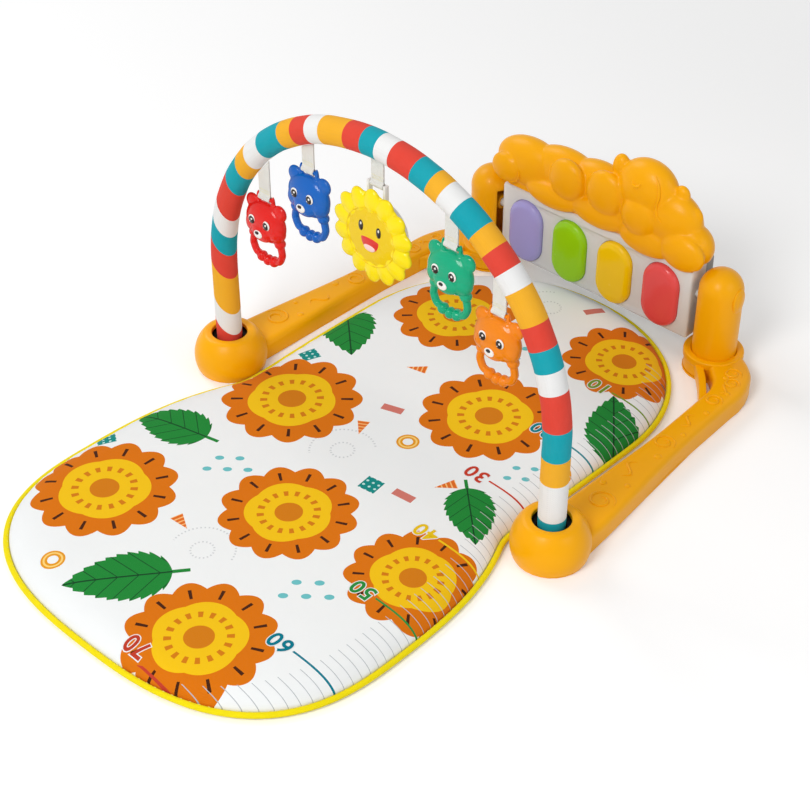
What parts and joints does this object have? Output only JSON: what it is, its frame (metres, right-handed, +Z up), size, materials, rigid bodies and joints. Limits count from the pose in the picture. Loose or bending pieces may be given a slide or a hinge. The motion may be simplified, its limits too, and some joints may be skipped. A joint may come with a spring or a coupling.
{
  "type": "baby activity gym",
  "caption": "Baby activity gym: padded floor mat between floor arms, a tilting kick piano on posts, and a striped lift-off arch with hanging rattles.",
  "frame": {"origin": "centre of the bounding box at floor level, straight under the top of the arch", "axes": "+Z up, +Y from the mat's free end towards the piano, +X to the right when facing the piano"},
  "size_m": [0.536, 0.7886, 0.3769],
  "materials": {
    "frame_yellow": "satin moulded plastic",
    "shell_grey": "satin moulded plastic",
    "rear_grey": "fine textured plastic",
    "mat_fabric": "printed polyester over padding",
    "binding_yellow": "sewn binding",
    "sleeve_fabric": "striped fabric over foam",
    "rod_white": "extruded plastic",
    "webbing": "woven tape",
    "key_1": "gloss",
    "key_2": "gloss",
    "key_3": "gloss",
    "key_4": "gloss",
    "membrane_rubber": "silicone",
    "board_green": "solder mask",
    "speaker_black": "matt black",
    "cell_wrap": "wrapped metal can",
    "screw_steel": "zinc plated",
    "red_rattle": "gloss",
    "blue_rattle": "gloss",
    "green_rattle": "gloss",
    "orange_rattle": "gloss",
    "petal_yellow": "gloss",
    "face_yellow": "gloss",
    "toy_white": "satin"
  },
  "bodies": {
    "base": {"mat_pad": "mat_fabric", "mat_binding": "binding_yellow", "left_arm_shell": "frame_yellow", "left_arm_base": "frame_yellow", "left_foot_dome": "frame_yellow", "left_arch_socket": "frame_yellow", "left_post": "frame_yellow", "left_pivot_bearing": "frame_yellow", "right_arm_shell": "frame_yellow", "right_arm_base": "frame_yellow", "right_foot_dome": "frame_yellow", "right_arch_socket": "frame_yellow", "right_post": "frame_yellow", "right_pivot_bearing": "frame_yellow"},
    "arch": {"arch_sleeve": "sleeve_fabric", "arch_rod_left": "rod_white", "arch_rod_top": "rod_white", "arch_rod_right": "rod_white"},
    "red_strap": {"red_rattle_strap": "webbing"},
    "red_toy": {"red_rattle_front": "red_rattle", "red_rattle_back": "red_rattle", "red_rattle_ring": "red_rattle"},
    "blue_strap": {"blue_rattle_strap": "webbing"},
    "blue_toy": {"blue_rattle_front": "blue_rattle", "blue_rattle_back": "blue_rattle", "blue_rattle_ring": "blue_rattle"},
    "flower_strap": {"sunflower_strap": "webbing"},
    "flower_toy": {"sunflower_petals": "petal_yellow", "sunflower_face": "face_yellow", "sunflower_back": "toy_white"},
    "green_strap": {"green_rattle_strap": "webbing"},
    "green_toy": {"green_rattle_front": "green_rattle", "green_rattle_back": "green_rattle", "green_rattle_ring": "green_rattle"},
    "orange_strap": {"orange_rattle_strap": "webbing"},
    "orange_toy": {"orange_rattle_front": "orange_rattle", "orange_rattle_back": "orange_rattle", "orange_rattle_ring": "orange_rattle"},
    "piano": {"console_front": "shell_grey", "console_rear": "rear_grey", "piano_crest": "frame_yellow", "key_membrane": "membrane_rubber", "circuit_board": "board_green", "speaker": "speaker_black", "battery_1": "cell_wrap", "battery_2": "cell_wrap", "battery_3": "cell_wrap", "battery_door": "rear_grey", "battery_door_screw": "screw_steel", "case_screw_1": "screw_steel", "case_screw_2": "screw_steel", "left_pivot_pin": "shell_grey", "right_pivot_pin": "shell_grey"},
    "key_a": {"key_1": "key_1"},
    "key_b": {"key_2": "key_2"},
    "key_c": {"key_3": "key_3"},
    "key_d": {"key_4": "key_4"},
    "switch": {"power_switch": "speaker_black"}
  },
  "joints": [
    {"name": "arch_lift", "type": "slide", "parent": "base", "child": "arch", "axis": [0, 0, 1], "range_m": [0, 0.028]},
    {"name": "red_strap_swing", "type": "hinge", "parent": "arch", "child": "red_strap", "pos_m": [-0.15789, 0, 0.27716], "axis": [0.6691, 0, 0.7431], "range_deg": [-35, 35]},
    {"name": "red_toy_swing", "type": "hinge", "parent": "red_strap", "child": "red_toy", "pos_m": [-0.15789, 0, 0.24166], "axis": [1, 0, 0], "range_deg": [-40, 40]},
    {"name": "blue_strap_swing", "type": "hinge", "parent": "arch", "child": "blue_strap", "pos_m": [-0.09314, 0, 0.32596], "axis": [0.8988, 0, 0.4384], "range_deg": [-40, 40]},
    {"name": "blue_toy_swing", "type": "hinge", "parent": "blue_strap", "child": "blue_toy", "pos_m": [-0.09314, 0, 0.29896], "axis": [1, 0, 0], "range_deg": [-40, 40]},
    {"name": "flower_strap_swing", "type": "hinge", "parent": "arch", "child": "flower_strap", "pos_m": [0, 0, 0.34746], "axis": [1, 0, 0], "range_deg": [-40, 40]},
    {"name": "flower_toy_swing", "type": "hinge", "parent": "flower_strap", "child": "flower_toy", "pos_m": [0, 0, 0.32046], "axis": [1, 0, 0], "range_deg": [-40, 40]},
    {"name": "green_strap_swing", "type": "hinge", "parent": "arch", "child": "green_strap", "pos_m": [0.09314, 0, 0.32596], "axis": [0.8988, 0, -0.4384], "range_deg": [-40, 40]},
    {"name": "green_toy_swing", "type": "hinge", "parent": "green_strap", "child": "green_toy", "pos_m": [0.09314, 0, 0.29346], "axis": [1, 0, 0], "range_deg": [-40, 40]},
    {"name": "orange_strap_swing", "type": "hinge", "parent": "arch", "child": "orange_strap", "pos_m": [0.15283, 0, 0.28259], "axis": [0.6947, 0, -0.7193], "range_deg": [-35, 35]},
    {"name": "orange_toy_swing", "type": "hinge", "parent": "orange_strap", "child": "orange_toy", "pos_m": [0.15283, 0, 0.24709], "axis": [1, 0, 0], "range_deg": [-40, 40]},
    {"name": "piano_tilt", "type": "hinge", "parent": "base", "child": "piano", "pos_m": [0, 0.361, 0.085], "axis": [-1, 0, 0], "range_deg": [-20, 60]},
    {"name": "key_1_press", "type": "slide", "parent": "piano", "child": "key_a", "axis": [0, 1, 0], "range_m": [0, 0.004], "stiffness_N_per_m": 600, "springref_m": -0.002},
    {"name": "key_2_press", "type": "slide", "parent": "piano", "child": "key_b", "axis": [0, 1, 0], "range_m": [0, 0.004], "stiffness_N_per_m": 600, "springref_m": -0.002},
    {"name": "key_3_press", "type": "slide", "parent": "piano", "child": "key_c", "axis": [0, 1, 0], "range_m": [0, 0.004], "stiffness_N_per_m": 600, "springref_m": -0.002},
    {"name": "key_4_press", "type": "slide", "parent": "piano", "child": "key_d", "axis": [0, 1, 0], "range_m": [0, 0.004], "stiffness_N_per_m": 600, "springref_m": -0.002},
    {"name": "switch_slide", "type": "slide", "parent": "piano", "child": "switch", "axis": [1, 0, 0], "range_m": [0, 0.006]}
  ]
}
